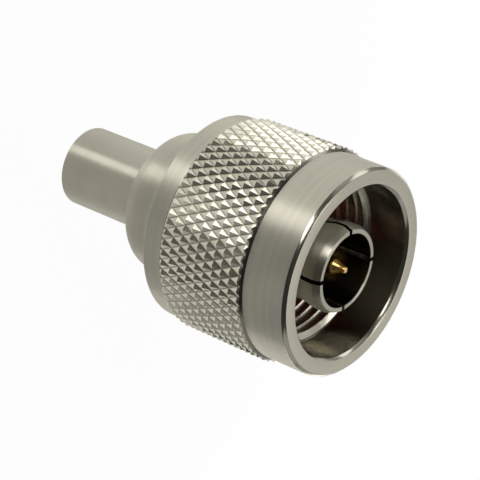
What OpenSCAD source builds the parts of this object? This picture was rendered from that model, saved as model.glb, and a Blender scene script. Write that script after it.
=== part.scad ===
// Straight N type cable plug, crimp pattern, with a knurled coupling nut.
// +Z runs along the axis from the cable end to the mating end.
// The origin is the centre of the ferrule's cable end, which the plug stands on.

/* [Coupling nut] */
// Length of the coupling nut
nut_len = 16.15; // [15.5:0.05:17.5]
// Outside diameter of the smooth bands at both ends of the nut
band_d = 19.5; // [19:0.05:20]
// Diameter over the points of the knurl
knurl_d = 20.3; // [20.1:0.05:20.8]
// Depth of the knurl's grooves
knurl_depth = 0.43; // [0.3:0.01:0.5]
// Number of knurl points round the nut
knurl_teeth = 66; // [48:1:72]
// Length of the knurl along the nut
knurl_len = 9.5; // [7.5:0.1:10.5]
// Angle of the knurl's grooves to the axis
knurl_angle = 30; // [25:1:38]
// Bevel at the knurl's ends, along the axis
knurl_run = 0.42; // [0.3:0.01:0.6]
// Length of the smooth band at the front
front_band = 4.6; // [3.5:0.1:5]
// Bevel on the nut's front outer edge
nut_bevel = 0.3; // [0.15:0.01:0.5]
// Edge break on the nut's rear outer edge
rear_break = 0.12; // [0.05:0.01:0.3]
// Depth of the plain mouth in front of the thread
mouth_depth = 4.1; // [3:0.1:5]
// Radial step of the lead-in at the mouth
mouth_bevel = 0.16; // [0.05:0.01:0.3]
// Length of the lead-in at the mouth
mouth_bevel_len = 0.36; // [0.1:0.01:0.6]
// Length of the nut's inner end lip, behind the retaining ring
nut_lip = 1.3; // [0.9:0.05:1.8]

/* [Coupling thread] */
// Major diameter of the coupling thread
thread_d = 15.875; // [15.6:0.005:16.2]
// Depth of the coupling thread
thread_depth = 0.52; // [0.4:0.01:0.6]
// Length of the threaded stretch
thread_len = 6; // [4.5:0.1:6.5]
// Depth of the relief behind the thread, beyond its major diameter
relief_depth = 0.12; // [0.05:0.01:0.3]

/* [Plug body] */
// Outside diameter of the plug body
body_d = 13.5; // [13:0.05:13.8]
// Length of the plug body from the ferrule's seat to the gasket's seat
body_len = 10.85; // [10.4:0.05:11.4]
// Length of the plug body that shows behind the nut
body_show = 5.95; // [5.5:0.05:6.2]
// Radius of the plug body's rounded shoulder
shoulder_r = 2; // [1:0.1:2.8]
// Diameter of the front bore that holds the insulators and the outer contact
front_bore_d = 8.6; // [8.4:0.05:9]
// Diameter of the chamber behind the insulators
chamber_d = 5.2; // [4.6:0.1:6]
// Distance from the ferrule's seat to the end of the chamber
chamber_floor = 0.7; // [0.4:0.1:1.2]
// Diameter of the bore through the crimp stem
stem_bore_d = 4.1; // [3.7:0.05:4.3]
// Outside diameter of the crimp stem
stem_d = 5; // [4.8:0.05:5.3]
// Length of the crimp stem
stem_len = 8.3; // [7:0.1:9]
// Number of gripping grooves round the crimp stem
stem_grooves = 6; // [3:1:7]
// Depth of the gripping grooves
stem_groove_depth = 0.12; // [0.05:0.01:0.16]
// Length of the land that centres the ferrule
pilot_len = 1.5; // [1:0.1:2]

/* [Crimp ferrule] */
// Length of the crimp ferrule
ferrule_len = 9.9; // [9.2:0.1:12]
// Outside diameter of the crimp ferrule
ferrule_d = 7.66; // [7.5:0.02:8]
// Wall of the crimp ferrule
ferrule_wall = 0.53; // [0.4:0.01:0.6]
// Edge break at the ferrule's ends
ferrule_break = 0.12; // [0.05:0.01:0.15]

/* [Outer contact] */
// Reach of the outer contact in front of the gasket's seat
sleeve_reach = 10.5; // [9.5:0.1:10.8]
// Inside diameter of the outer contact
sleeve_bore_d = 6.9; // [6.7:0.05:7.1]
// Outside diameter of the outer contact's neck
sleeve_neck_d = 7.7; // [7.6:0.05:7.9]
// Outside diameter over the outer contact's swell
sleeve_swell_d = 8.24; // [8.1:0.02:8.4]
// Outside diameter of the outer contact's flat front ring
sleeve_tip_d = 7.72; // [7.6:0.02:7.9]
// Length of the bevel behind the flat front ring
sleeve_bevel_len = 0.85; // [0.5:0.05:1.2]
// Length of the swell's cylindrical land
swell_len = 1.1; // [0.8:0.1:1.6]
// Length of the slope from the swell back to the neck
swell_slope_len = 1.3; // [0.8:0.1:2]
// Length of the outer contact's root, held in the plug body
root_len = 2.3; // [1.8:0.1:2.5]
// Depth of the root's front end below the gasket's seat
root_recess = 0.2; // [0.1:0.05:0.4]
// Width of the slots between the spring fingers
slot_w = 0.4; // [0.3:0.05:0.6]
// Length of the slots
slot_len = 8; // [6:0.1:8.5]
// Number of slots
slot_count = 4; // [4:1:6]
// Turn of the first slot from +X
slot_turn = 30; // [0:5:60]

/* [Centre contact] */
// Diameter of the pin that enters the socket
pin_d = 1.65; // [1.55:0.01:1.75]
// Distance of the pin's tip behind the outer contact's front ring
pin_recess = 0.1; // [0:0.05:0.5]
// Distance of the pin's shoulder behind the outer contact's front ring
pin_shoulder = 5.3; // [4.8:0.1:5.8]
// Length of the pin's nose
nose_len = 0.6; // [0.4:0.05:0.9]
// Diameter of the flat at the nose's end
nose_d = 0.6; // [0.4:0.05:0.8]
// Diameter of the centre conductor behind the pin's shoulder
conductor_d = 3.04; // [2.9:0.02:3.2]
// Diameter of the collar held between the insulators
collar_d = 3.9; // [3.6:0.05:4.4]
// Thickness of the collar
collar_t = 0.8; // [0.6:0.05:1.1]
// Outside diameter of the slotted rear socket
socket_d = 2.6; // [2.4:0.05:2.8]
// Diameter of the hole for the cable's centre wire
socket_bore_d = 1.5; // [1.3:0.05:1.6]
// Length of the rear socket behind the collar
socket_len = 4.2; // [3.6:0.1:4.4]
// Depth of the hole for the cable's centre wire
socket_bore_len = 3.5; // [3:0.1:3.5]
// Length of the rear socket's slots
socket_slot_len = 2.4; // [1.5:0.1:2.6]
// Width of the rear socket's slots
socket_slot_w = 0.3; // [0.2:0.05:0.4]

/* [Insulators] */
// Thickness of the front insulator
front_insulator_t = 3.05; // [2.6:0.05:3.3]
// Thickness of the rear insulator
rear_insulator_t = 1.6; // [1.3:0.05:1.8]

/* [Gasket] */
// Thickness of the gasket
gasket_t = 1.3; // [1:0.05:1.6]
// Inside diameter of the gasket
gasket_bore_d = 8.6; // [8.5:0.05:9]
// Outside diameter of the gasket
gasket_d = 13.2; // [12.6:0.05:13.4]

/* [Retaining ring] */
// Thickness of the retaining ring
ring_t = 1; // [0.8:0.05:1.2]
// Radial width of the retaining ring
ring_w = 1; // [0.9:0.05:1.2]
// Depth of the retaining ring's groove in the plug body
ring_groove_depth = 0.65; // [0.5:0.05:0.8]
// Width of the gap in the retaining ring
ring_split = 2; // [1:0.5:4]

/* [Fits] */
// Radial clearance of the turning nut on the plug body
nut_play = 0.06; // [0.02:0.01:0.1]
// End clearance of the turning nut on the retaining ring
end_play = 0.05; // [0.02:0.01:0.1]
// Radial clearance of the retaining ring in the nut's groove
ring_play = 0.25; // [0.15:0.01:0.3]
// Radial clearance of the ferrule on its land
ferrule_play = 0.05; // [0.02:0.01:0.1]
// Radial clearance between pieces that are pressed or pushed together
push_fit = 0.03; // [0.02:0.01:0.05]

/* [Hidden] */
$fn = 96;
tiny = 0.01;

// stations along the axis, from the cable end up
z_seat = ferrule_len;
z_stem = z_seat - stem_len;
z_face = z_seat + body_len;
z_nut = z_seat + body_show;
z_front = z_nut + nut_len;
z_tip = z_face + sleeve_reach;
z_root_top = z_face - root_recess;
z_root = z_root_top - root_len;
z_join = z_root - front_insulator_t;
z_insulators = z_join - rear_insulator_t;
z_collar_top = z_join + collar_t;
z_chamber = z_seat + chamber_floor;
z_ring = z_nut + nut_lip + end_play;
z_ring_top = z_ring + ring_t;

// radii
body_r = body_d / 2;
band_r = band_d / 2;
knurl_r = knurl_d / 2;
// the knurl's ends dip under the bands, so that the two never share a face
knurl_undercut = 0.16;
knurl_bury = 0.06;
knurl_row = PI * knurl_r / knurl_teeth / tan(knurl_angle);
knurl_root_r = knurl_r - knurl_depth;
knurl_start_r = knurl_root_r - knurl_undercut;
knurl_core_r = knurl_start_r - knurl_undercut;
thread_r = thread_d / 2;
thread_crest_r = thread_r - thread_depth;
relief_r = thread_r + relief_depth;
mouth_r = thread_r + push_fit;
nut_bore_r = body_r + nut_play;
ring_floor_r = body_r - ring_groove_depth;
ring_in_r = ring_floor_r + push_fit;
ring_out_r = ring_in_r + ring_w;
nut_groove_r = ring_out_r + ring_play;
ferrule_r = ferrule_d / 2;
ferrule_bore_r = ferrule_r - ferrule_wall;
pilot_r = ferrule_bore_r - ferrule_play;
stem_r = stem_d / 2;
front_bore_r = front_bore_d / 2;
insulator_r = front_bore_r - push_fit;
conductor_r = conductor_d / 2;
socket_r = socket_d / 2;
collar_r = collar_d / 2;

nickel = [0.76, 0.75, 0.71];
gold = [0.85, 0.66, 0.28];
ptfe = [0.95, 0.95, 0.92];
red_silicone = [0.62, 0.08, 0.06];
bronze = [0.72, 0.55, 0.36];

// a band of pointed diamonds between z0 and z1, two crossing sets of grooves on a ring
module diamond_knurl(z0, z1) {
    columns = 2 * knurl_teeth;
    steps = max(2, round((z1 - z0 - 2 * knurl_run) / knurl_row));
    row_h = (z1 - z0 - 2 * knurl_run) / steps;
    heights = concat(
        [z0 - knurl_bury],
        [for (k = [0 : steps]) z0 + knurl_run + k * row_h],
        [z1 + knurl_bury]
    );
    last = len(heights) - 1;
    function radius(m, n) =
        n == 0 || n == last ? knurl_start_r
        : (m + n) % 2 == 0 ? knurl_r : knurl_root_r;
    function at(r, m, z) = [r * cos(180 * m / knurl_teeth), r * sin(180 * m / knurl_teeth), z];
    inner_r = knurl_core_r - knurl_undercut;
    skin = [for (n = [0 : last]) for (m = [0 : columns - 1]) at(radius(m, n), m, heights[n])];
    bottom = [for (m = [0 : columns - 1]) at(inner_r, m, heights[0])];
    top = [for (m = [0 : columns - 1]) at(inner_r, m, heights[last])];
    low = len(skin);
    high = low + columns;
    function on(m, n) = n * columns + m % columns;
    // each cell is folded along the groove that crosses it
    cells = [
        for (n = [0 : last - 1]) for (m = [0 : columns - 1])
            each (m + n) % 2 == 0
                ? [[on(m, n), on(m, n + 1), on(m + 1, n)],
                   [on(m + 1, n), on(m, n + 1), on(m + 1, n + 1)]]
                : [[on(m, n), on(m, n + 1), on(m + 1, n + 1)],
                   [on(m, n), on(m + 1, n + 1), on(m + 1, n)]]
    ];
    lids = [
        for (m = [0 : columns - 1])
            let (next = (m + 1) % columns)
            each [
                [on(m, 0), on(next, 0), low + next, low + m],
                [on(next, last), on(m, last), high + m, high + next],
                [low + m, low + next, high + next, high + m]
            ]
    ];
    polyhedron(points = concat(skin, bottom, top), faces = concat(cells, lids), convexity = 6);
}

module nut_section() {
    z_knurl_top = z_front - front_band;
    z_knurl = z_knurl_top - knurl_len;
    z_thread_top = z_front - mouth_depth;
    z_thread = z_thread_top - thread_len;
    z_shelf = z_face - root_recess;
    polygon([
        // outside, from the rear up
        [nut_bore_r + rear_break, z_nut],
        [band_r - rear_break, z_nut],
        [band_r, z_nut + rear_break],
        [band_r, z_knurl],
        [knurl_core_r, z_knurl],
        [knurl_core_r, z_knurl_top],
        [band_r, z_knurl_top],
        [band_r, z_front - nut_bevel],
        [band_r - nut_bevel, z_front],
        // inside, from the mouth down
        [mouth_r + mouth_bevel, z_front],
        [mouth_r, z_front - mouth_bevel_len],
        [mouth_r, z_thread_top],
        [thread_crest_r, z_thread_top - thread_depth / 2],
        [thread_crest_r, z_thread + thread_depth / 2],
        [relief_r, z_thread],
        [relief_r, z_shelf],
        [nut_bore_r, z_shelf],
        [nut_bore_r, z_ring_top + end_play],
        [nut_groove_r, z_ring_top + end_play],
        [nut_groove_r, z_ring - end_play],
        [nut_bore_r, z_ring - end_play],
        [nut_bore_r, z_nut + rear_break]
    ]);
}

module coupling_nut() {
    color(nickel) {
        rotate_extrude() nut_section();
        diamond_knurl(z_front - front_band - knurl_len, z_front - front_band);
    }
}

// split spring ring that ties the nut to the plug body
module retaining_ring() {
    color(bronze) difference() {
        translate([0, 0, z_ring]) cylinder(r = ring_out_r, h = ring_t);
        translate([0, 0, z_ring - tiny]) cylinder(r = ring_in_r, h = ring_t + 2 * tiny);
        translate([0, -ring_split / 2, z_ring - tiny]) cube([body_d, ring_split, ring_t + 2 * tiny]);
    }
}

module body_outline() {
    // rounded shoulder
    translate([0, z_seat]) square([body_r - shoulder_r, shoulder_r]);
    translate([0, z_seat + shoulder_r]) square([body_r, body_len - shoulder_r - rear_break]);
    intersection() {
        translate([body_r - shoulder_r, z_seat + shoulder_r]) circle(r = shoulder_r);
        translate([0, z_seat]) square([body_r, shoulder_r + tiny]);
    }
    // bevelled front edge
    polygon([
        [0, z_face - rear_break - tiny],
        [body_r, z_face - rear_break - tiny],
        [body_r, z_face - rear_break],
        [body_r - rear_break, z_face],
        [0, z_face]
    ]);
    // crimp stem and the land that centres the ferrule
    stem_end = stem_r - stem_groove_depth;
    land_z = z_seat - pilot_len;
    slope = pilot_r - stem_r;
    polygon([
        [0, z_stem],
        [stem_end, z_stem],
        [stem_r, z_stem + stem_groove_depth],
        [stem_r, land_z - slope / 2],
        [pilot_r, land_z],
        [pilot_r, z_seat + tiny],
        [0, z_seat + tiny]
    ]);
}

module body_hollow() {
    lead_in = stem_groove_depth;
    stem_bore_r = stem_bore_d / 2;
    chamber_r = chamber_d / 2;
    polygon([
        [0, z_stem - tiny],
        [stem_bore_r + lead_in + tiny, z_stem - tiny],
        [stem_bore_r, z_stem + lead_in],
        [stem_bore_r, z_chamber - (chamber_r - stem_bore_r) / 2],
        [chamber_r, z_chamber],
        [chamber_r, z_insulators],
        [front_bore_r, z_insulators],
        [front_bore_r, z_face + tiny],
        [0, z_face + tiny]
    ]);
}

module plug_body() {
    grip_len = stem_len - pilot_len - (pilot_r - stem_r) / 2 - 2 * stem_groove_depth;
    grip_step = grip_len / (stem_grooves + 1);
    color(nickel) rotate_extrude() difference() {
        body_outline();
        body_hollow();
        // groove for the retaining ring
        translate([ring_floor_r, z_ring]) square([body_r, ring_t + end_play]);
        // gripping grooves round the stem
        for (k = [1 : stem_grooves])
            translate([stem_r, z_stem + 2 * stem_groove_depth + k * grip_step])
                rotate(45) square(sqrt(2) * stem_groove_depth, center = true);
    }
}

module crimp_ferrule() {
    color(nickel) rotate_extrude() polygon([
        [ferrule_bore_r, ferrule_break],
        [ferrule_bore_r + ferrule_break, 0],
        [ferrule_r - ferrule_break, 0],
        [ferrule_r, ferrule_break],
        [ferrule_r, z_seat - ferrule_break],
        [ferrule_r - ferrule_break, z_seat],
        [ferrule_bore_r + ferrule_break, z_seat],
        [ferrule_bore_r, z_seat - ferrule_break]
    ]);
}

module interface_gasket() {
    color(red_silicone) translate([0, 0, z_face]) difference() {
        cylinder(d = gasket_d, h = gasket_t);
        translate([0, 0, -tiny]) cylinder(d = gasket_bore_d, h = gasket_t + 2 * tiny);
    }
}

// slotted spring sleeve, pressed into the plug body
module outer_contact() {
    root_r = front_bore_r - push_fit;
    neck_r = sleeve_neck_d / 2;
    swell_r = sleeve_swell_d / 2;
    bore_r = sleeve_bore_d / 2;
    z_swell_top = z_tip - sleeve_bevel_len;
    z_swell = z_swell_top - swell_len;
    color(nickel) difference() {
        rotate_extrude() polygon([
            [bore_r, z_root],
            [root_r, z_root],
            [root_r, z_root_top],
            [neck_r, z_root_top],
            [neck_r, z_swell - swell_slope_len],
            [swell_r, z_swell],
            [swell_r, z_swell_top],
            [sleeve_tip_d / 2, z_tip],
            [bore_r, z_tip]
        ]);
        for (k = [0 : slot_count - 1])
            rotate([0, 0, slot_turn + 360 * k / slot_count])
                translate([bore_r / 2, -slot_w / 2, z_tip - slot_len])
                    cube([body_r, slot_w, slot_len + tiny]);
    }
}

// the collar lies in a recess between the two insulators
module front_insulator() {
    color(ptfe) rotate_extrude() polygon([
        [collar_r + push_fit, z_join],
        [insulator_r, z_join],
        [insulator_r, z_root],
        [conductor_r + push_fit, z_root],
        [conductor_r + push_fit, z_collar_top],
        [collar_r + push_fit, z_collar_top]
    ]);
}

module rear_insulator() {
    color(ptfe) rotate_extrude() translate([socket_r + push_fit, z_insulators])
        square([insulator_r - socket_r - push_fit, rear_insulator_t]);
}

module centre_contact() {
    z_pin_tip = z_tip - pin_recess;
    z_shoulder = z_tip - pin_shoulder;
    z_socket = z_join - socket_len;
    pin_r = pin_d / 2;
    color(gold) difference() {
        rotate_extrude() polygon([
            [0, z_socket],
            [socket_r, z_socket],
            [socket_r, z_join],
            [collar_r, z_join],
            [collar_r, z_collar_top],
            [conductor_r, z_collar_top],
            [conductor_r, z_shoulder],
            [pin_r, z_shoulder],
            [pin_r, z_pin_tip - nose_len],
            [nose_d / 2, z_pin_tip],
            [0, z_pin_tip]
        ]);
        translate([0, 0, z_socket - tiny]) cylinder(d = socket_bore_d, h = socket_bore_len + tiny);
        for (turn = [0, 90])
            rotate([0, 0, turn])
                translate([-socket_d, -socket_slot_w / 2, z_socket - tiny])
                    cube([2 * socket_d, socket_slot_w, socket_slot_len + tiny]);
    }
}

coupling_nut();
retaining_ring();
plug_body();
crimp_ferrule();
interface_gasket();
outer_contact();
front_insulator();
rear_insulator();
centre_contact();
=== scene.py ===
from math import cos, hypot, pi, radians, sin, tan

import bmesh
import bpy
from mathutils import Matrix, Vector


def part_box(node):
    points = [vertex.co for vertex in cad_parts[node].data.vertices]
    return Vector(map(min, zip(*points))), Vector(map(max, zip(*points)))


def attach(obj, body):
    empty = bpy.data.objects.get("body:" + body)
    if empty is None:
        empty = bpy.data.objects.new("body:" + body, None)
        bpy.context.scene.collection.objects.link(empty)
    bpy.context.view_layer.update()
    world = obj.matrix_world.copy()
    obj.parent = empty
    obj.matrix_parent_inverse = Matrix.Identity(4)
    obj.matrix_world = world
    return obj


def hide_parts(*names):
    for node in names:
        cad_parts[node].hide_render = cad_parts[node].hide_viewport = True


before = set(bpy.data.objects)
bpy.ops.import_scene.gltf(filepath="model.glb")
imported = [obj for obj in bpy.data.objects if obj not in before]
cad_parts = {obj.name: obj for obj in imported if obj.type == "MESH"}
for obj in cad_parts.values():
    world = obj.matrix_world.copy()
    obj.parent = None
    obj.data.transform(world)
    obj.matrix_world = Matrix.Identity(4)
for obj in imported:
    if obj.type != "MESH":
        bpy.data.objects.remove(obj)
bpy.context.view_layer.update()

mm = 0.001  # sizes below are in millimetres where no note says metres
print("frame loaded")


def clearSelection():
    if bpy.context.mode != "OBJECT":
        bpy.ops.object.mode_set(mode="OBJECT")
    bpy.ops.object.select_all(action="DESELECT")


def focus(piece):
    clearSelection()
    bpy.context.view_layer.objects.active = piece
    piece.select_set(True)


def settle():  # leaves edit mode and puts the place in the mesh
    if bpy.context.mode != "OBJECT":
        bpy.ops.object.mode_set(mode="OBJECT")
    bpy.ops.object.transform_apply(location=True, rotation=True, scale=True)


def pick(piece, kind, *places, rimOnly=False):
    # selects, in edit mode, the points or edges whose corners all lie in one place, and with
    # rimOnly only those on an open border
    bpy.ops.mesh.select_mode(type=kind)
    bpy.ops.mesh.select_all(action="DESELECT")
    shape = bmesh.from_edit_mesh(piece.data)
    for part in shape.verts if kind == "VERT" else shape.edges:
        corners = [part.co / mm] if kind == "VERT" else [vert.co / mm for vert in part.verts]
        here = any(all(inside(co) for co in corners) for inside in places)
        part.select = here and (part.is_boundary or not rimOnly)
    shape.select_flush_mode()
    bmesh.update_edit_mesh(piece.data)


def ringAt(radius, height):
    near = 0.002
    return lambda co: abs(hypot(co.x, co.y) - radius) < near and abs(co.z - height) < near


def addModifier(piece, kind, **settings):
    focus(piece)
    modifier = piece.modifiers.new(kind.lower(), kind)
    for key, value in settings.items():
        setattr(modifier, key, value)
    bpy.context.view_layer.update()
    bpy.ops.object.modifier_apply(modifier=modifier.name)


def keepCorners(piece, sharpest=40):
    focus(piece)
    bpy.ops.object.shade_smooth_by_angle(angle=radians(sharpest))


def weightNormals(piece):
    addModifier(piece, "WEIGHTED_NORMAL", keep_sharp=True, weight=80)


def smoothSurface(piece, sharpest=40):
    keepCorners(piece, sharpest)
    weightNormals(piece)


def outwards(piece):
    focus(piece)
    bpy.ops.object.mode_set(mode="EDIT")
    bpy.ops.mesh.select_all(action="SELECT")
    bpy.ops.mesh.normals_make_consistent(inside=False)
    bpy.ops.object.mode_set(mode="OBJECT")


overshoot = 1  # how far a cutter reaches past the piece
plateSpan = 20  # wider than every piece that is slotted
broadRounding = 1  # above this a rounding gets more steps
fineSteps, broadSteps = 3, 12


def cutWith(piece, cutter, operation="DIFFERENCE"):
    addModifier(piece, "BOOLEAN", operation=operation, object=cutter, solver="EXACT")
    bpy.data.objects.remove(cutter)


def joinTo(piece, *others):
    focus(piece)
    for other in others:
        other.select_set(True)
    bpy.ops.object.join()


def turnedPiece(name, base, section, sides=180, ring=True):
    # section rows are (radius, height over base, rounding); a ring's last row meets its first
    clearSelection()
    radius, height = section[0][0], section[0][1]
    bpy.ops.mesh.primitive_circle_add(
        vertices=sides, radius=radius * mm, fill_type="NOTHING" if ring else "NGON",
        location=(0, 0, (base + height) * mm))
    piece = bpy.context.object
    piece.name = piece.data.name = name
    settle()
    bpy.ops.object.mode_set(mode="EDIT")
    bpy.ops.mesh.select_mode(type="EDGE")
    bpy.ops.mesh.select_all(action="SELECT")
    for nextRadius, nextHeight, _ in section[1:]:
        bpy.ops.mesh.extrude_region_move(
            TRANSFORM_OT_translate={"value": (0, 0, (nextHeight - height) * mm)})
        if nextRadius != radius:
            grow = nextRadius / radius
            bpy.ops.transform.resize(
                value=(grow, grow, 1), center_override=(0, 0, (base + nextHeight) * mm))
        radius, height = nextRadius, nextHeight
    if ring:
        bpy.ops.mesh.select_all(action="DESELECT")
        bpy.ops.mesh.select_non_manifold()
        bpy.ops.mesh.bridge_edge_loops()
    bpy.ops.mesh.select_all(action="SELECT")
    bpy.ops.mesh.normals_make_consistent(inside=False)
    for size in sorted({row[2] for row in section if row[2]}, reverse=True):
        pick(piece, "EDGE", *(ringAt(row[0], base + row[1]) for row in section if row[2] == size))
        bpy.ops.mesh.bevel(
            offset=size * mm, offset_type="OFFSET", profile=0.5, affect="EDGES",
            clamp_overlap=False, segments=broadSteps if size > broadRounding else fineSteps)
    bpy.ops.object.mode_set(mode="OBJECT")
    return piece


def platesAcross(width, depth, low, angles):  # thin upright plates through the axis
    plates = []
    for angle in angles:
        clearSelection()
        bpy.ops.mesh.primitive_cube_add(
            size=mm, location=(0, 0, (low + depth / 2) * mm), rotation=(0, 0, radians(angle)))
        plate = bpy.context.object
        plate.scale = (plateSpan, width, depth)
        settle()
        plates.append(plate)
    return plates


def lowEnd(node):
    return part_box(node)[0].z / mm


def highEnd(node):
    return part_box(node)[1].z / mm


def lengthOf(node):
    return highEnd(node) - lowEnd(node)


class Wire:  # a shader socket that can stand in a sum
    def __init__(self, finish, socket):
        self.finish, self.socket = finish, socket

    def maths(self, operation, first, second=0.0):
        return self.finish.node("ShaderNodeMath", {"operation": operation}, {0: first, 1: second})

    def __add__(self, other):
        return self.maths("ADD", self, other)

    def __radd__(self, other):
        return self.maths("ADD", other, self)

    def __sub__(self, other):
        return self.maths("SUBTRACT", self, other)

    def __rsub__(self, other):
        return self.maths("SUBTRACT", other, self)

    def __mul__(self, other):
        return self.maths("MULTIPLY", self, other)

    def __rmul__(self, other):
        return self.maths("MULTIPLY", other, self)

    def __truediv__(self, other):
        return self.maths("DIVIDE", self, other)

    def __pow__(self, other):
        return self.maths("POWER", self, other)


class Finish:
    def __init__(self, name, owners=None):
        self.material = (bpy.data.materials if owners is None else owners).new(name)
        self.material.use_nodes = True
        self.tree = self.material.node_tree
        self.tree.nodes.clear()

    def node(self, kind, settings=None, sockets=None, out=0):
        made = self.tree.nodes.new(kind)
        for key, value in (settings or {}).items():
            setattr(made, key, value)
        for key, value in (sockets or {}).items():
            if isinstance(value, Wire):
                self.tree.links.new(value.socket, made.inputs[key])
            else:
                made.inputs[key].default_value = value
        return Wire(self, made.outputs[out]) if made.outputs else None

    def place(self):  # metres on the object: x, y, z and the distance from the axis
        spot = self.node("ShaderNodeTexCoord", out="Object")
        x, y, z = (
            self.node("ShaderNodeSeparateXYZ", sockets={"Vector": spot}, out=axis)
            for axis in "XYZ")
        return spot, x, y, z, (x * x + y * y) ** 0.5

    def noise(self, vector, scale, detail=2.0, roughness=0.5):
        return self.node(
            "ShaderNodeTexNoise", {}, {
                "Vector": vector, "Scale": scale, "Detail": detail, "Roughness": roughness})

    def ramp(self, value, low, high, start=0.0, end=1.0):  # eased step between two values
        return self.node(
            "ShaderNodeMapRange", {"interpolation_type": "SMOOTHSTEP"},
            {"Value": value, "From Min": low, "From Max": high, "To Min": start, "To Max": end})

    def blend(self, factor, first, second):
        return self.node(
            "ShaderNodeMix", {"data_type": "RGBA"}, {0: factor, 6: first, 7: second}, out=2)

    def close(self, **sockets):
        names = {key.replace("_", " "): value for key, value in sockets.items()}
        shader = self.node("ShaderNodeBsdfPrincipled", {}, names)
        self.surface(shader)
        return self.material

    def surface(self, shader):
        world = isinstance(self.material, bpy.types.World)
        self.node("ShaderNodeOutputWorld" if world else "ShaderNodeOutputMaterial", {},
                  {"Surface": shader})


def rgb(red, green, blue):
    return (red, green, blue, 1.0)


def scaled(colour, by):
    return tuple(part * by for part in colour[:3]) + (1.0,)


cameraSettings = {
    "place": (1.07, -152.28, 122.24), "lookDown": 34.0, "roll": 112.4, "lens": 151.41,
    "nearest": 0.01,  # in metres
}
cameraData = bpy.data.cameras.new("camera")
cameraData.lens = cameraSettings["lens"]
cameraData.clip_start = cameraSettings["nearest"]
camera = bpy.data.objects.new("camera", cameraData)
bpy.context.scene.collection.objects.link(camera)
camera.matrix_world = (
    Matrix.Translation(Vector(cameraSettings["place"]) * mm)
    @ Matrix.Rotation(radians(90 - cameraSettings["lookDown"]), 4, "X")
    @ Matrix.Rotation(radians(cameraSettings["roll"]), 4, "Z"))
bpy.context.scene.camera = camera
bpy.context.scene.view_settings.view_transform = "Standard"

studio = {  # lengths in metres
    "floorColour": rgb(0.86, 0.86, 0.85), "floorHalf": 0.103, "floorLevel": -8.4 * mm,
    # cameraGlow is what the camera sees of the floor and the other glows what reflections see; past
    # glossGlow and backGlow they paint a pool of light and a shadow onto the floor
    "cameraGlow": 0.965, "glossGlow": 0.345, "backGlow": 0.37, "paintedLightGlow": 0.85,
    "paintedShadowGlow": 0.12, "paintedFarLightGlow": 0.4,
    "worldColour": rgb(0.035, 0.035, 0.035), "lampDistance": 0.6, "lampTarget": 20 * mm,
    # degrees, then brightness: azimuth from the camera's side towards -X, elevation, half
    # width and half height
    "lamps": [
        (27, 26, 10, 28, 4.0), (72, 20, 24, 20, 0.15), (110, 20, 26, 32, 0.22),
        (112, 27, 8, 9, 1.1), (165, 30, 28, 32, 0.52), (-150, 30, 20, 32, 0.3),
        (-112, 20, 16, 20, 0.35), (75, -9, 45, 8, 1.8), (0, -9, 28, 8, 0.07),
        (150, -9, 28, 8, 1.0), (-140, -9, 38, 8, 1.5), (95, 68, 14, 9, 2.2),
        (180, 66, 16, 8, 1.5), (-65, -9, 36, 8, 0.24),
    ],
}


def towards(azimuth, elevation, distance):
    a, e = radians(azimuth), radians(elevation)
    return Vector((-sin(a) * cos(e), -cos(a) * cos(e), sin(e))) * distance


# where the floor's glow fades from zone to zone. A turn is x or y over the distance from the
# axis, and a reach is that distance in metres. whiteReach is for what the camera sees, the
# others for what the metal mirrors, where the zones paint light and shadow onto the floor,
# and axisGuard keeps the divisions finite on the axis.
floorZones = {
    "behindTurn": (-0.35, 0.05), "besideTurn": (0.5, 0.85), "leftTurn": (0.1, 0.5),
    "rearTurn": (0.3, 0.7), "patchReach": (0.0245, 0.0265), "patchEndReach": (0.0385, 0.0435),
    "farReach": (0.0705, 0.0875), "whiteReach": (0.03, 0.09), "axisGuard": 0.001,
}


def floorFinish():
    finish, zones = Finish("paleFloor"), floorZones
    cameraRay, glossRay, clearRay = (
        finish.node("ShaderNodeLightPath", out=name)
        for name in ("Is Camera Ray", "Is Glossy Ray", "Is Transmission Ray"))
    _, x, y, _, reach = finish.place()
    behind = y / (reach + zones["axisGuard"])
    beside = -1 * x / (reach + zones["axisGuard"])
    glow = finish.ramp(behind, *zones["behindTurn"], studio["glossGlow"], studio["backGlow"])
    # a painted pool of light on the floor beside the object on the -X side, seen in reflections
    # only
    paintedLightPatch = (finish.ramp(beside, *zones["besideTurn"]) * finish.ramp(reach, *zones["patchReach"])
             * (1 - finish.ramp(reach, *zones["patchEndReach"])))
    near = glow + paintedLightPatch * (studio["paintedLightGlow"] - studio["backGlow"])
    left = finish.ramp(beside, *zones["leftTurn"])
    rear = finish.ramp(behind, *zones["rearTurn"])
    # far out, painted shadow in front and on the +X side, lifted by painted light on the -X side
    # and behind, seen in reflections only
    outer = (studio["paintedShadowGlow"] + left * studio["paintedFarLightGlow"]
             + (1 - left) * rear * studio["paintedFarLightGlow"])
    far = finish.ramp(reach, *zones["farReach"])
    glow = (1 - far) * near + far * outer
    white = finish.ramp(reach, *zones["whiteReach"], studio["cameraGlow"], 1.0)
    shown = cameraRay * white + (glossRay + clearRay) * glow
    matt = finish.node("ShaderNodeBsdfDiffuse", {}, {"Color": studio["floorColour"]})
    light = finish.node("ShaderNodeEmission", {}, {"Color": rgb(1, 1, 1), "Strength": 1.0})
    finish.surface(finish.node("ShaderNodeMixShader", {}, {0: shown, 1: matt, 2: light}))
    return finish.material


clearSelection()
bpy.ops.mesh.primitive_plane_add(
    size=2 * studio["floorHalf"], location=(0, 0, studio["floorLevel"]))
floor = bpy.context.object
floor.name = "floor"
floor.data.materials.append(floorFinish())

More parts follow.
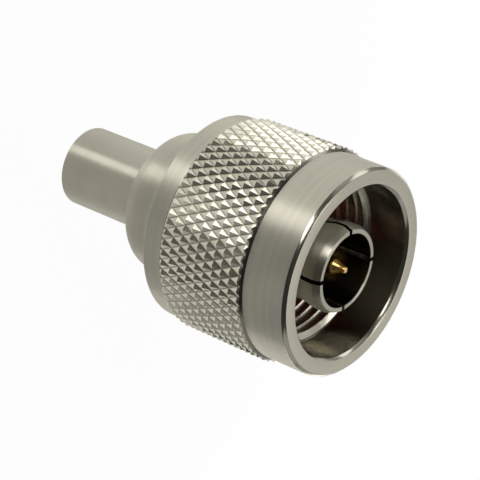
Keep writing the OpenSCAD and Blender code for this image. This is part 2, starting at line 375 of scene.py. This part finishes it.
lampTarget = Vector((0, 0, studio["lampTarget"]))
for number, (azimuth, elevation, halfWide, halfHigh, brightness) in enumerate(studio["lamps"]):
    lampData = bpy.data.lights.new(f"lamp{number}", "AREA")
    lampData.shape = "RECTANGLE"
    lampData.size = 2 * studio["lampDistance"] * tan(radians(halfWide))
    lampData.size_y = 2 * studio["lampDistance"] * tan(radians(halfHigh))
    lampData.energy = brightness * pi * lampData.size * lampData.size_y
    lamp = bpy.data.objects.new(f"lamp{number}", lampData)
    bpy.context.scene.collection.objects.link(lamp)
    lamp.location = lampTarget + towards(azimuth, elevation, studio["lampDistance"])
    lamp.rotation_mode = "QUATERNION"
    lamp.rotation_quaternion = (lampTarget - lamp.location).to_track_quat("-Z", "Y")
    lamp.visible_camera = False

sky = Finish("sky", bpy.data.worlds)
sky.surface(sky.node("ShaderNodeBackground", {}, {"Color": sky.blend(
    sky.node("ShaderNodeLightPath", out="Is Camera Ray"), studio["worldColour"], rgb(1, 1, 1))}))
bpy.context.scene.world = sky.material
print("camera, floor and lights made")


nickelColour = rgb(0.62, 0.592, 0.485)
# lineScale, roundScale, cloudScale and grainScale are per metre, and broadScale is relative to
# lineScale. dark and bright multiply the colour, grainDepth is in millimetres, quarterTurn is a
# part of a full turn, and the rest say how strongly a pattern acts.
turning = {
    "lineScale": 9000.0, "roundScale": 90.0, "broadScale": 0.16, "cloudScale": 420.0,
    "cloudTone": 0.3, "dark": 0.86, "bright": 1.12, "broadHeight": 1.6, "lineRoughness": 0.12,
    "cloudRoughness": 0.10, "quarterTurn": 0.25,
}
rolling = {
    "cloudScale": 900.0, "grainScale": 9000.0, "riseTone": 0.9, "cloudTone": 0.2, "bright": 1.32,
    "grainDepth": 0.0012, "cloudRoughness": 0.1, "crestPolish": 0.06,
}
moulding = {"cloudScale": 700.0, "cloudTone": 0.8, "grainTone": 0.6, "cloudRoughness": 0.12}


def turnedNickel(name, look):
    # look: roughness, spread of the highlight, strength and depth of the lines, and tone, which
    # scales the whole colour as painted shade below 1 and painted light above 1
    finish, turn = Finish(name), turning
    spot, x, y, z, radius = finish.place()
    across = finish.node("ShaderNodeCombineXYZ", {}, {
        "X": radius * turn["lineScale"], "Y": z * turn["lineScale"],
        "Z": (x - y) * turn["roundScale"]})
    fine = finish.noise(across, 1.0, detail=4.0, roughness=0.6)
    broad = finish.noise(across, turn["broadScale"], detail=2.0)
    cloud = finish.noise(spot, turn["cloudScale"], detail=3.0)
    tone = (0.5 + (fine - 0.5) * look["lines"] + (broad - 0.5) * look["lines"]
            + (cloud - 0.5) * turn["cloudTone"])
    # look's tone scales the whole colour: painted shade below 1, painted light above 1
    paintedLightAndShade = look.get("tone", 1.0)
    colour = finish.blend(
        tone, scaled(nickelColour, turn["dark"] * paintedLightAndShade),
        scaled(nickelColour, turn["bright"] * paintedLightAndShade))
    bump = finish.node("ShaderNodeBump", {}, {
        "Height": fine + broad * turn["broadHeight"], "Strength": 1.0,
        "Distance": look["lineDepth"] * mm})
    roughness = (look["roughness"] + (fine - 0.5) * turn["lineRoughness"]
                 + (cloud - 0.5) * turn["cloudRoughness"])
    return finish.close(
        Base_Color=colour, Metallic=1.0, Roughness=roughness, Anisotropic=look["spread"],
        Anisotropic_Rotation=turn["quarterTurn"], Normal=bump)


def rolledNickel(name, look):
    # look: roughness, pit and crest radii, and the strength of the painted shade that darkens the
    # pits
    finish, roll = Finish(name), rolling
    spot, *_, radius = finish.place()
    rise = finish.ramp(radius, look["pit"] * mm, look["crest"] * mm)
    cloud = finish.noise(spot, roll["cloudScale"], detail=3.0)
    grain = finish.noise(spot, roll["grainScale"], detail=2.0)
    # below the crest radius the colour falls to painted shade in the pits
    tone = rise * roll["riseTone"] + (cloud - 0.5) * roll["cloudTone"]
    colour = finish.blend(
        tone, scaled(nickelColour, look["paintedPitShade"]), scaled(nickelColour, roll["bright"]))
    bump = finish.node("ShaderNodeBump", {}, {
        "Height": grain, "Strength": 1.0, "Distance": roll["grainDepth"] * mm})
    roughness = (look["roughness"] + (cloud - 0.5) * roll["cloudRoughness"]
                 - rise * roll["crestPolish"])
    return finish.close(Base_Color=colour, Metallic=1.0, Roughness=roughness, Normal=bump)


def plainFinish(
        name, colour, roughness, metallic=0.0, speckle=0.1, grainSize=0.12, depth=0.002):
    finish, mould = Finish(name), moulding
    spot = finish.place()[0]
    cloud = finish.noise(spot, mould["cloudScale"], detail=3.0)
    grain = finish.noise(spot, 1 / (grainSize * mm), detail=3.0)
    tone = 0.5 + (cloud - 0.5) * mould["cloudTone"] + (grain - 0.5) * mould["grainTone"]
    bump = finish.node("ShaderNodeBump", {}, {
        "Height": grain, "Strength": 1.0, "Distance": depth * mm})
    return finish.close(
        Base_Color=finish.blend(tone, scaled(colour, 1 - speckle), scaled(colour, 1 + speckle)),
        Roughness=roughness + (cloud - 0.5) * mould["cloudRoughness"], Metallic=metallic,
        Normal=bump)


bandNickel = turnedNickel(
    "bandNickel", {"roughness": 0.40, "spread": 0.94, "lines": 0.9, "lineDepth": 0.0012})
faceNickel = turnedNickel(
    "faceNickel", {"roughness": 0.36, "spread": 0.5, "lines": 0.5, "lineDepth": 0.0006})
edgeNickel = turnedNickel(
    "edgeNickel", {"roughness": 0.17, "spread": 0.3, "lines": 0.4, "lineDepth": 0.0004})
# a darker copy of the turned nickel: painted shade inside the mouth and bores
boreNickelPaintedShade = turnedNickel("boreNickelPaintedShade", {
    "roughness": 0.20, "spread": 0.3, "lines": 0.5, "lineDepth": 0.0004, "tone": 0.6})
tubeNickel = turnedNickel(
    "tubeNickel", {"roughness": 0.33, "spread": 1.0, "lines": 0.25, "lineDepth": 0.0003})
contactNickel = turnedNickel(
    "contactNickel", {"roughness": 0.40, "spread": 0.9, "lines": 0.3, "lineDepth": 0.0001})
# a darker copy of the contact's nickel: painted shade in its bore and slot walls
contactBorePaintedShade = turnedNickel("contactBorePaintedShade", {
    "roughness": 0.18, "spread": 0.5, "lines": 0.3, "lineDepth": 0.0001, "tone": 0.42})
knurlNickel = rolledNickel(
    "knurlNickel", {"roughness": 0.17, "pit": 9.93, "crest": 9.99, "paintedPitShade": 0.55})
# a lighter copy of the turned nickel: painted light on the whole thread inside the mouth
threadNickelPaintedLight = turnedNickel("threadNickelPaintedLight", {
    "roughness": 0.26, "spread": 0.3, "lines": 0.5, "lineDepth": 0.0006, "tone": 1.25})
pinGold = plainFinish(
    "pinGold", rgb(0.93, 0.62, 0.22), 0.22, metallic=1.0, speckle=0.05, depth=0.0004)
ringBronze = plainFinish("ringBronze", rgb(0.52, 0.34, 0.18), 0.34, metallic=1.0)
whiteFluoro = plainFinish("whiteFluoro", rgb(0.82, 0.81, 0.78), 0.42, speckle=0.04, grainSize=0.08)
redSilicone = plainFinish(
    "redSilicone", rgb(0.30, 0.020, 0.015), 0.38, speckle=0.12, grainSize=0.2, depth=0.004)
print("finishes made")


couplingNut = {
    "bandRadius": 9.75, "frontBevel": 0.3, "rearBreak": 0.12, "edge": 0.045,
    "knurlLow": 2.05, "knurlHigh": 11.55, "coreRadius": 9.40,
    "mouthRadius": 7.9675, "mouthStep": 0.28, "mouthStepLength": 0.28, "mouthDepth": 4.1,
    "reliefRadius": 8.06, "reliefTop": 5.95, "shelf": 4.70, "boreRadius": 6.81,
    "grooveRadius": 7.38, "grooveLow": 1.30, "grooveHigh": 2.40,
    "fineEdge": 0.02, "shelfFillet": 0.1, "mouthRun": 0.03,
}
coarseKnurl = {
    "teeth": 65, "crestRadius": 10.15, "rootRadius": 9.93, "rowHeight": 0.962, "endRun": 0.42,
    "crestFlat": 0.06, "bury": 0.03, "innerRadius": 9.30, "weld": 0.003, "trim": 0.1,
    "inwards": 0.92, "topClear": 0.05, "endStep": 0.04, "sideShare": 0.9,
}
couplingThread = {
    "pitch": 1.058, "majorRadius": 7.9375, "crestRadius": 7.4175, "crestWidth": 0.22,
    "flank": 30, "low": 6.05, "high": 12.05, "start": 0.45, "rootBury": 0.12,
    "crestOver": 0.02, "blankBury": 0.06, "blankStep": 0.03, "steps": 120, "nearPlane": 0.001,
}


def makeNutShell(base, length):
    nut = couplingNut
    top, edge, fineEdge = length, nut["edge"], nut["fineEdge"]
    major = couplingThread["majorRadius"]
    section = [
        (nut["boreRadius"] + nut["rearBreak"], 0, edge),
        (nut["bandRadius"] - nut["rearBreak"], 0, edge),
        (nut["bandRadius"], nut["rearBreak"], edge),
        (nut["bandRadius"], nut["knurlLow"], fineEdge),
        (nut["coreRadius"], nut["knurlLow"], 0),
        (nut["coreRadius"], nut["knurlHigh"], 0),
        (nut["bandRadius"], nut["knurlHigh"], fineEdge),
        (nut["bandRadius"], top - nut["frontBevel"], edge),
        (nut["bandRadius"] - nut["frontBevel"], top, edge),
        (nut["mouthRadius"] + nut["mouthStep"], top, edge),
        (nut["mouthRadius"], top - nut["mouthStepLength"], edge),
        (nut["mouthRadius"], top - nut["mouthDepth"], 0),
        (major, top - nut["mouthDepth"] - nut["mouthRun"], 0),
        (major, couplingThread["low"], 0),
        (nut["reliefRadius"], nut["reliefTop"], fineEdge),
        (nut["reliefRadius"], nut["shelf"], nut["shelfFillet"]),
        (nut["boreRadius"], nut["shelf"], fineEdge),
        (nut["boreRadius"], nut["grooveHigh"], fineEdge),
        (nut["grooveRadius"], nut["grooveHigh"], 0),
        (nut["grooveRadius"], nut["grooveLow"], 0),
        (nut["boreRadius"], nut["grooveLow"], fineEdge),
        (nut["boreRadius"], nut["rearBreak"], fineEdge),
    ]
    return turnedPiece("couplingNut", base, section)


def makeKnurl(base):
    knurl = coarseKnurl
    low, high = base + couplingNut["knurlLow"], base + couplingNut["knurlHigh"]
    half = pi / knurl["teeth"]
    root, row = knurl["rootRadius"], knurl["rowHeight"]
    wide = root * sin(half)
    first = low + knurl["endRun"] - 2 * row
    # one four-sided tooth between its grooves
    clearSelection()
    bpy.ops.mesh.primitive_circle_add(
        vertices=4, radius=mm, fill_type="NGON", location=(root * mm, 0, first * mm),
        rotation=(0, pi / 2, 0))
    knurlRing = bpy.context.object
    knurlRing.name = "knurlRing"
    settle()
    bpy.ops.object.mode_set(mode="EDIT")
    bpy.ops.mesh.select_all(action="SELECT")
    bpy.ops.transform.resize(
        value=(1, wide, row), center_override=(root * mm, 0, first * mm))
    slope = wide * row / hypot(wide, row)
    bpy.ops.mesh.select_mode(type="FACE")
    bpy.ops.mesh.inset(thickness=slope * (1 - knurl["crestFlat"]) * mm)
    bpy.ops.transform.translate(value=((knurl["crestRadius"] - root) * mm, 0, 0))
    pick(knurlRing, "VERT", lambda co: abs(co.y) > wide * knurl["sideShare"])
    bpy.ops.transform.translate(value=(-root * (1 - cos(half)) * mm, 0, 0))
    bpy.ops.object.mode_set(mode="OBJECT")
    # copied round, then a second ring half a tooth on
    bpy.ops.object.empty_add(rotation=(0, 0, 2 * half))
    turner = bpy.context.object
    bpy.context.view_layer.update()
    addModifier(
        knurlRing, "ARRAY", use_relative_offset=False, use_object_offset=True,
        offset_object=turner, count=knurl["teeth"])
    bpy.data.objects.remove(turner)
    focus(knurlRing)
    bpy.ops.object.duplicate()
    second = bpy.context.object
    bpy.ops.transform.rotate(value=half, orient_axis="Z", center_override=(0, 0, 0))
    bpy.ops.transform.translate(value=(0, 0, row * mm))
    settle()
    joinTo(knurlRing, second)
    rows = int((high - low) / (2 * row)) + 3
    addModifier(
        knurlRing, "ARRAY", use_relative_offset=False, use_constant_offset=True,
        constant_offset_displace=(0, 0, 2 * row * mm), count=rows)
    # welded and cut to length
    bpy.ops.object.mode_set(mode="EDIT")
    bpy.ops.mesh.select_all(action="SELECT")
    bpy.ops.mesh.remove_doubles(threshold=knurl["weld"] * mm)
    for height, normal in ((low - knurl["trim"], 1), (high + knurl["trim"], -1)):
        bpy.ops.mesh.select_all(action="SELECT")
        bpy.ops.mesh.bisect(
            plane_co=(0, 0, height * mm), plane_no=(0, 0, normal), clear_inner=True)
    bpy.ops.mesh.select_all(action="DESELECT")
    bpy.ops.mesh.select_non_manifold()
    bpy.ops.mesh.extrude_region_move()
    bpy.ops.transform.resize(
        value=(knurl["inwards"], knurl["inwards"], 1), center_override=(0, 0, 0))
    bpy.ops.mesh.bridge_edge_loops()
    outwards(knurlRing)
    # the turned blank bevels both ends
    bury, top = knurl["bury"], knurl["crestRadius"] + knurl["topClear"]
    reach = couplingNut["bandRadius"] - knurl["endStep"]
    run, inner = knurl["endRun"] + bury, knurl["innerRadius"]
    blank = turnedPiece("knurlBlank", 0, [
        (inner, low - bury, 0), (reach, low - bury, 0), (top, low - bury + run, 0),
        (top, high + bury - run, 0), (reach, high + bury, 0), (inner, high + bury, 0)])
    cutWith(knurlRing, blank, "INTERSECT")
    return knurlRing


def makeThread(base):
    thread = couplingThread
    low, high = base + thread["low"], base + thread["high"]
    outer = thread["majorRadius"] + thread["rootBury"]
    inner = thread["crestRadius"] - thread["crestOver"]
    deep = outer - inner
    narrow = thread["crestWidth"]
    wide = narrow + 2 * deep * tan(radians(thread["flank"]))
    clearSelection()
    bpy.ops.mesh.primitive_plane_add(
        size=mm, location=((outer + inner) / 2 * mm, 0, (low - thread["pitch"]) * mm),
        rotation=(pi / 2, 0, 0))
    threadCoil = bpy.context.object
    threadCoil.name = "threadCoil"
    threadCoil.scale = (deep, narrow, 1)
    settle()
    bpy.ops.object.mode_set(mode="EDIT")
    pick(threadCoil, "VERT", lambda co: co.x > (outer + inner) / 2)
    bpy.ops.transform.resize(value=(1, 1, wide / narrow))
    bpy.ops.mesh.select_all(action="SELECT")
    bpy.ops.mesh.delete(type="ONLY_FACE")
    bpy.ops.object.mode_set(mode="OBJECT")
    turns = int((high - low) / thread["pitch"]) + 3
    addModifier(
        threadCoil, "SCREW", axis="Z", angle=2 * pi, screw_offset=thread["pitch"] * mm,
        iterations=turns, steps=thread["steps"], render_steps=thread["steps"],
        use_smooth_shade=False)
    bpy.ops.object.mode_set(mode="EDIT")
    halfway = (low + high) / 2
    for lowHalf in (True, False):  # a lid on each end
        pick(threadCoil, "EDGE", lambda co: abs(co.y) < thread["nearPlane"] and co.x > 0
             and (co.z < halfway) == lowHalf, rimOnly=True)
        bpy.ops.mesh.edge_face_add()
    outwards(threadCoil)
    wall, start = thread["majorRadius"] + thread["blankBury"], thread["start"]
    crest = thread["crestRadius"]
    blank = turnedPiece("threadBlank", 0, [
        (crest, low + start, 0), (wall, low, 0), (wall, high, 0),
        (wall - thread["blankStep"], high, 0),
        (crest, high - start, 0)])
    cutWith(threadCoil, blank, "INTERSECT")
    return threadCoil


nutBase = lowEnd("coupling_nut")
nutLength = lengthOf("coupling_nut")
nutShell = makeNutShell(nutBase, nutLength)
for finish in (bandNickel, boreNickelPaintedShade, faceNickel, edgeNickel):
    nutShell.data.materials.append(finish)
nutTop = nutBase + nutLength
nearWall, nearRear, nearFront, nearBevel = 0.12, 0.2, 0.1, 0.03
faceUp, slopedUp = 0.9, 0.2  # how far a normal has to point along the axis
for face in nutShell.data.polygons:
    centre = face.center / mm
    reach = hypot(centre.x, centre.y)
    if reach < couplingNut["mouthRadius"] + nearWall and centre.z > nutBase + nearRear:
        face.material_index = 1  # the smoother wall inside the mouth and bores, darkened with painted shade
    elif face.normal.z > faceUp and centre.z > nutTop - nearFront:
        face.material_index = 2  # front ring
    elif (centre.z > nutTop - couplingNut["frontBevel"] - nearBevel
            or face.normal.z > slopedUp):
        face.material_index = 3  # bevels
print("nut shell turned", len(nutShell.data.polygons))
knurlRing = makeKnurl(nutBase)
knurlRing.data.materials.append(knurlNickel)
print("knurl rolled", len(knurlRing.data.polygons))
threadCoil = makeThread(nutBase)
threadCoil.data.materials.append(threadNickelPaintedLight)
print("thread cut", len(threadCoil.data.polygons))
keepCorners(nutShell)
keepCorners(knurlRing, sharpest=12)
keepCorners(threadCoil)
joinTo(nutShell, knurlRing, threadCoil)
weightNormals(nutShell)
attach(nutShell, "nut")
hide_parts("coupling_nut")


plugBody = {
    "radius": 6.75, "shoulder": 2.0, "edge": 0.03, "frontBreak": 0.12,
    "stemRadius": 2.5, "stemBore": 2.05, "stemLength": 8.3, "pilotRadius": 3.25, "pilotLength": 1.5,
    "grooves": 6, "grooveDepth": 0.12, "chamberRadius": 2.6, "chamberFloor": 0.7,
    "insulatorSeat": 3.7, "boreRadius": 4.3, "ringFloor": 6.10, "ringLow": 7.30, "ringHigh": 8.35,
}


def makePlugBody(base, length):
    body = plugBody
    seat, cut, edge = body["stemLength"], body["grooveDepth"], body["edge"]
    step = body["pilotRadius"] - body["stemRadius"]
    land = seat - body["pilotLength"]
    grip = body["stemLength"] - body["pilotLength"] - step / 2 - 2 * cut
    cone = (body["chamberRadius"] - body["stemBore"]) / 2
    section = [
        (body["stemBore"] + cut, 0, edge), (body["stemRadius"] - cut, 0, edge),
        (body["stemRadius"], cut, edge)]
    for k in range(1, body["grooves"] + 1):
        z = 2 * cut + k * grip / (body["grooves"] + 1)
        section += [
            (body["stemRadius"], z - cut, 0), (body["stemRadius"] - cut, z, 0),
            (body["stemRadius"], z + cut, 0)]
    section += [
        (body["stemRadius"], land - step / 2, 0), (body["pilotRadius"], land, edge),
        (body["pilotRadius"], seat, 0),
        (body["radius"], seat, body["shoulder"]),
        (body["radius"], seat + body["ringLow"], edge),
        (body["ringFloor"], seat + body["ringLow"], 0),
        (body["ringFloor"], seat + body["ringHigh"], 0),
        (body["radius"], seat + body["ringHigh"], edge),
        (body["radius"], length - body["frontBreak"], edge),
        (body["radius"] - body["frontBreak"], length, edge),
        (body["boreRadius"], length, edge), (body["boreRadius"], seat + body["insulatorSeat"], 0),
        (body["chamberRadius"], seat + body["insulatorSeat"], edge),
        (body["chamberRadius"], seat + body["chamberFloor"], 0),
        (body["stemBore"], seat + body["chamberFloor"] - cone, 0),
        (body["stemBore"], cut, 0)]
    piece = turnedPiece("plugBody", base, section)
    piece.data.materials.append(bandNickel)
    smoothSurface(piece)
    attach(piece, "body")
    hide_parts("plug_body")


makePlugBody(lowEnd("plug_body"), lengthOf("plug_body"))
print("plug body turned")


crimpFerrule = {
    "radius": 3.83, "boreRadius": 3.30, "outerEdge": 0.13, "innerEdge": 0.09, "sides": 144,
}


def makeFerrule(base, length):
    tube = crimpFerrule
    piece = turnedPiece("crimpFerrule", base, [
        (tube["boreRadius"], 0, tube["innerEdge"]), (tube["radius"], 0, tube["outerEdge"]),
        (tube["radius"], length, tube["outerEdge"]),
        (tube["boreRadius"], length, tube["innerEdge"])], sides=tube["sides"])
    piece.data.materials.append(tubeNickel)
    smoothSurface(piece)
    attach(piece, "ferrule")
    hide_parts("crimp_ferrule")


makeFerrule(lowEnd("crimp_ferrule"), lengthOf("crimp_ferrule"))
print("crimp ferrule drawn")


outerContact = {
    "boreRadius": 3.45, "rootRadius": 4.27, "rootLength": 2.3, "neckRadius": 3.85,
    "slopeStart": 10.4, "swellLow": 11.45, "swellHigh": 12.3, "swellRadius": 4.12,
    "tipRadius": 3.86, "edge": 0.035, "slotWidth": 0.4, "slotLength": 8.0, "slotTurn": 30,
    "slopeRound": 0.3, "swellRound": 0.08, "sides": 144, "boreMargin": 0.03, "wallFlatness": 0.8,
}


def makeOuterContact(base, length):
    sleeve = outerContact
    edge = sleeve["edge"]
    piece = turnedPiece("outerContact", base, [
        (sleeve["boreRadius"], 0, edge), (sleeve["rootRadius"], 0, edge),
        (sleeve["rootRadius"], sleeve["rootLength"], edge),
        (sleeve["neckRadius"], sleeve["rootLength"], 0),
        (sleeve["neckRadius"], sleeve["slopeStart"], sleeve["slopeRound"]),
        (sleeve["swellRadius"], sleeve["swellLow"], sleeve["slopeRound"]),
        (sleeve["swellRadius"], sleeve["swellHigh"], sleeve["swellRound"]),
        (sleeve["tipRadius"], length, edge), (sleeve["boreRadius"], length, edge)],
        sides=sleeve["sides"])
    turn = sleeve["slotTurn"]
    for plate in platesAcross(
            sleeve["slotWidth"], sleeve["slotLength"] + overshoot,
            base + length - sleeve["slotLength"], (turn, turn + 90)):
        cutWith(piece, plate)
    piece.data.materials.append(contactNickel)
    piece.data.materials.append(contactBorePaintedShade)
    for face in piece.data.polygons:
        x, y, normal = face.center.x, face.center.y, face.normal
        out, flatness = hypot(x, y), abs(x * normal.y - y * normal.x)
        inBore = out < (sleeve["boreRadius"] + sleeve["boreMargin"]) * mm
        if inBore or flatness > sleeve["wallFlatness"] * out:
            face.material_index = 1  # the bore and the walls of the slots, darkened with painted shade
    smoothSurface(piece, sharpest=35)
    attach(piece, "body")
    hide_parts("outer_contact")


makeOuterContact(lowEnd("outer_contact"), lengthOf("outer_contact"))
print("outer contact slotted")


centreContact = {
    "socketRadius": 1.3, "socketBore": 0.75, "socketDepth": 3.5, "collarLow": 4.2,
    "collarHigh": 5.0, "collarRadius": 1.95, "conductorRadius": 1.52, "pinRadius": 0.825,
    "shoulder": 14.95, "noseLength": 1.2, "waistLength": 0.7, "waistRadius": 0.46,
    "noseRadius": 0.29, "edge": 0.05, "shoulderRound": 0.12, "noseRound": 0.16,
    "waistRound": 0.4, "tipRound": 0.13, "slotWidth": 0.3, "slotLength": 2.4, "sides": 96,
}


def makeCentreContact(base, length):
    pin = centreContact
    edge = pin["edge"]
    piece = turnedPiece("centreContact", base, [
        (pin["socketBore"], pin["socketDepth"], 0), (pin["socketBore"], 0, edge),
        (pin["socketRadius"], 0, edge), (pin["socketRadius"], pin["collarLow"], 0),
        (pin["collarRadius"], pin["collarLow"], edge),
        (pin["collarRadius"], pin["collarHigh"], edge),
        (pin["conductorRadius"], pin["collarHigh"], 0),
        (pin["conductorRadius"], pin["shoulder"], pin["shoulderRound"]),
        (pin["pinRadius"], pin["shoulder"], 0),
        (pin["pinRadius"], length - pin["noseLength"], pin["noseRound"]),
        (pin["waistRadius"], length - pin["waistLength"], pin["waistRound"]),
        (pin["noseRadius"], length, pin["tipRound"])], sides=pin["sides"], ring=False)
    bpy.ops.object.mode_set(mode="EDIT")
    bpy.ops.mesh.select_all(action="DESELECT")
    bpy.ops.mesh.select_mode(type="EDGE")
    bpy.ops.mesh.select_non_manifold()
    bpy.ops.mesh.edge_face_add()
    outwards(piece)
    for plate in platesAcross(
            pin["slotWidth"], pin["slotLength"] + overshoot, base - overshoot, (0, 90)):
        cutWith(piece, plate)
    piece.data.materials.append(pinGold)
    smoothSurface(piece, sharpest=35)
    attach(piece, "body")
    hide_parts("centre_contact")


makeCentreContact(lowEnd("centre_contact"), lengthOf("centre_contact"))
print("centre contact turned")


interfaceGasket = {
    "boreRadius": 4.3, "radius": 6.6, "edge": 0.08, "rounding": 0.22, "sides": 144,
}


def makeGasket(base, length):
    gasket = interfaceGasket
    edge, soft = gasket["edge"], gasket["rounding"]
    piece = turnedPiece("interfaceGasket", base, [
        (gasket["boreRadius"], 0, edge), (gasket["radius"], 0, edge),
        (gasket["radius"], length, soft), (gasket["boreRadius"], length, soft)],
        sides=gasket["sides"])
    piece.data.materials.append(redSilicone)
    smoothSurface(piece)
    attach(piece, "body")
    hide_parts("interface_gasket")


makeGasket(lowEnd("interface_gasket"), lengthOf("interface_gasket"))
for node, finish in (
        ("front_insulator", whiteFluoro), ("rear_insulator", whiteFluoro),
        ("retaining_ring", ringBronze)):
    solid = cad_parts[node]
    solid.data.materials.clear()
    solid.data.materials.append(finish)
print("gasket moulded, inner pieces finished")
